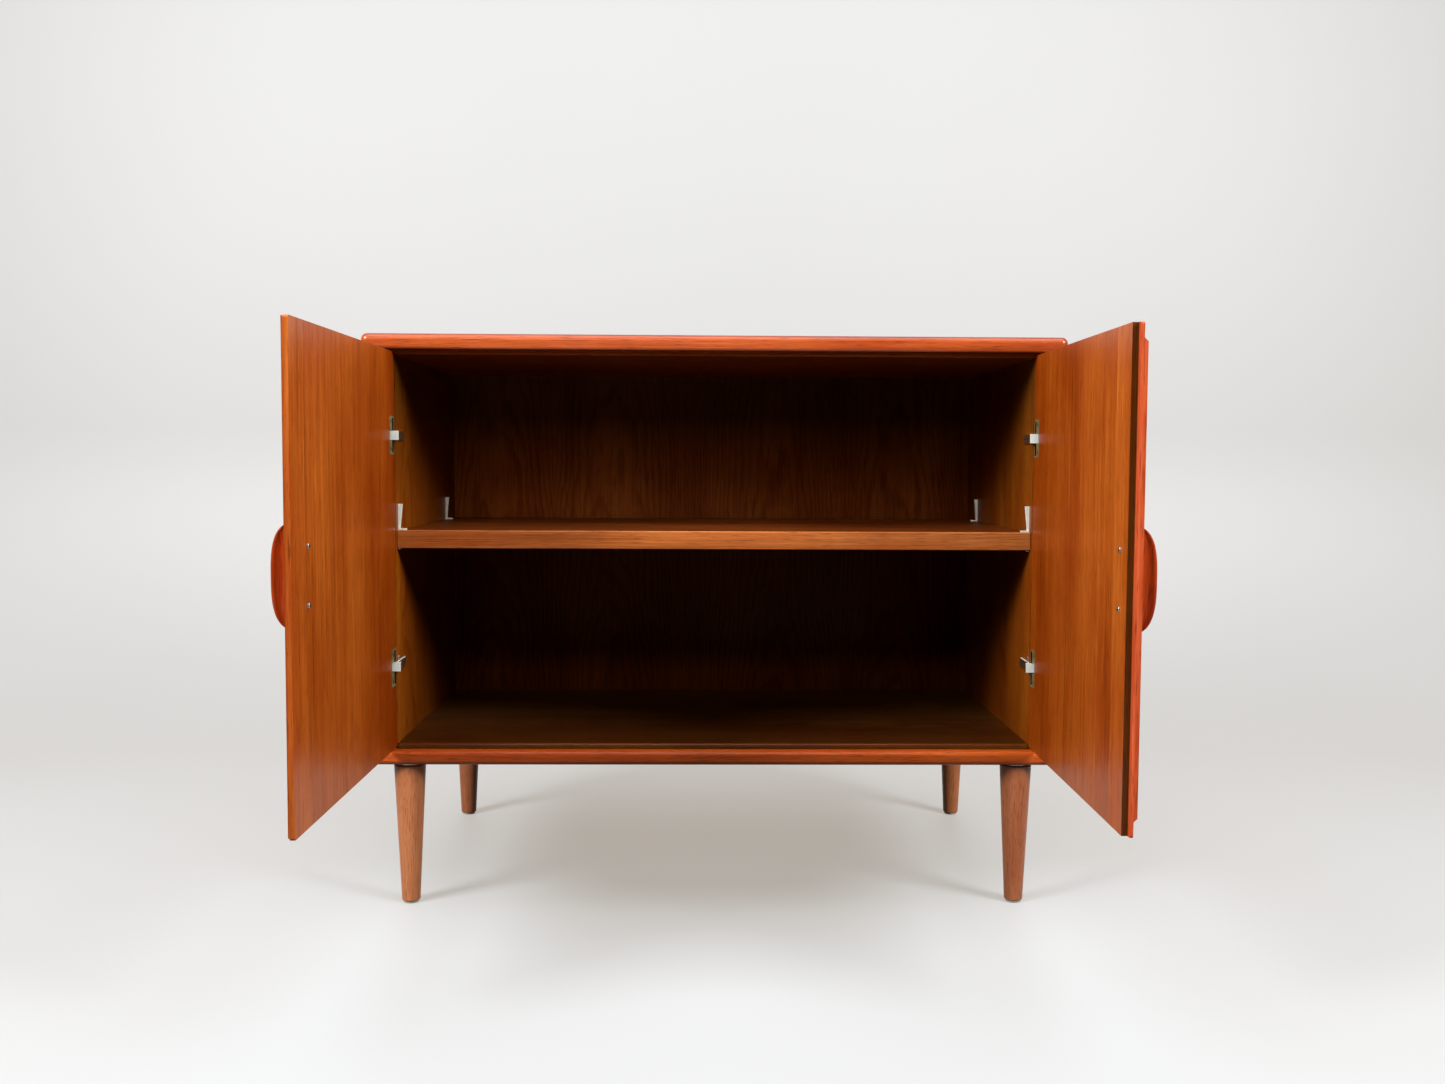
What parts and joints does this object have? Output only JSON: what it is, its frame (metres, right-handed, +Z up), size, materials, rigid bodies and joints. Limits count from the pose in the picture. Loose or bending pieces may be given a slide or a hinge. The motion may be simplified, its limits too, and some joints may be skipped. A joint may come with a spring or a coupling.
{
  "type": "tv stand with doors",
  "caption": "Low wooden cabinet for a television, with a pair of hinged doors that overlap in the middle, one shelf inside and turned tapering legs.",
  "frame": {"origin": "on the floor, in the middle of the ground covered with both doors open, on the cabinet's centre plane", "axes": "+X to the right when facing the front, +Y from the front to the back, +Z up"},
  "size_m": [0.96, 0.9836, 0.789],
  "materials": {
    "screw_steel": "zinc plated, satin",
    "nickel": "nickel plated, satin",
    "bronze_plate": "olive bronze lacquer, satin",
    "nylon": "off-white moulded nylon, matte",
    "glide": "pale moulded plastic, matte",
    "leg_wood": "oiled hardwood, satin",
    "dowel_wood": "bare beech",
    "handle_wood": "dark red stained hardwood, satin",
    "stained_edge_wood": "red-brown stained hardwood, satin",
    "veneer": "oiled veneer with straight grain, satin"
  },
  "bodies": {
    "cabinet": {"back_ceiling_cleat": "veneer", "back_floor_cleat": "veneer", "back_panel": "veneer", "back_panel_screws": "screw_steel", "bottom_front_rail": "stained_edge_wood", "bottom_panel": "veneer", "carcass_dowels": "dowel_wood", "floor_nose": "stained_edge_wood", "hinge_arm_screws": "screw_steel", "hinge_guard_screws": "screw_steel", "left_front_stile": "stained_edge_wood", "left_lower_hinge_arm": "nickel", "left_side_lining": "veneer", "left_side_panel": "veneer", "left_upper_hinge_arm": "nickel", "leg_back_left": "leg_wood", "leg_back_right": "leg_wood", "leg_bolts": "screw_steel", "leg_front_left": "leg_wood", "leg_front_right": "leg_wood", "leg_glides": "glide", "leg_plate_screws": "screw_steel", "leg_plates": "screw_steel", "right_front_stile": "stained_edge_wood", "right_lower_hinge_arm": "nickel", "right_side_lining": "veneer", "right_side_panel": "veneer", "right_upper_hinge_arm": "nickel", "shelf_clip_back_left": "nylon", "shelf_clip_back_right": "nylon", "shelf_clip_front_left": "nylon", "shelf_clip_front_right": "nylon", "shelf_front_edge": "stained_edge_wood", "shelf_panel": "veneer", "top_back_edge": "stained_edge_wood", "top_front_edge": "stained_edge_wood", "top_left_edge": "stained_edge_wood", "top_panel": "veneer", "top_right_edge": "stained_edge_wood", "top_stop_nose": "stained_edge_wood"},
    "left_door": {"left_door_field": "veneer", "left_door_handle": "handle_wood", "left_door_panel": "veneer", "left_door_stile": "stained_edge_wood", "left_handle_screws": "screw_steel", "left_hinge_cup_screws": "screw_steel", "left_hinge_pins": "nickel", "left_lower_hinge_cup": "bronze_plate", "left_upper_hinge_cup": "bronze_plate"},
    "right_door": {"right_door_field": "veneer", "right_door_handle": "handle_wood", "right_door_panel": "veneer", "right_door_stile": "stained_edge_wood", "right_handle_screws": "screw_steel", "right_hinge_cup_screws": "screw_steel", "right_hinge_pins": "nickel", "right_lower_hinge_cup": "bronze_plate", "right_upper_hinge_cup": "bronze_plate"}
  },
  "joints": [
    {"name": "left_door_hinge", "type": "hinge", "parent": "cabinet", "child": "left_door", "pos_m": [-0.44725, -0.0355, 0.4935], "axis": [0, 0, 1], "range_deg": [-9.75, 90.25]},
    {"name": "right_door_hinge", "type": "hinge", "parent": "cabinet", "child": "right_door", "pos_m": [0.44725, -0.0355, 0.4935], "axis": [0, 0, -1], "range_deg": [-11.4, 88.6]}
  ]
}
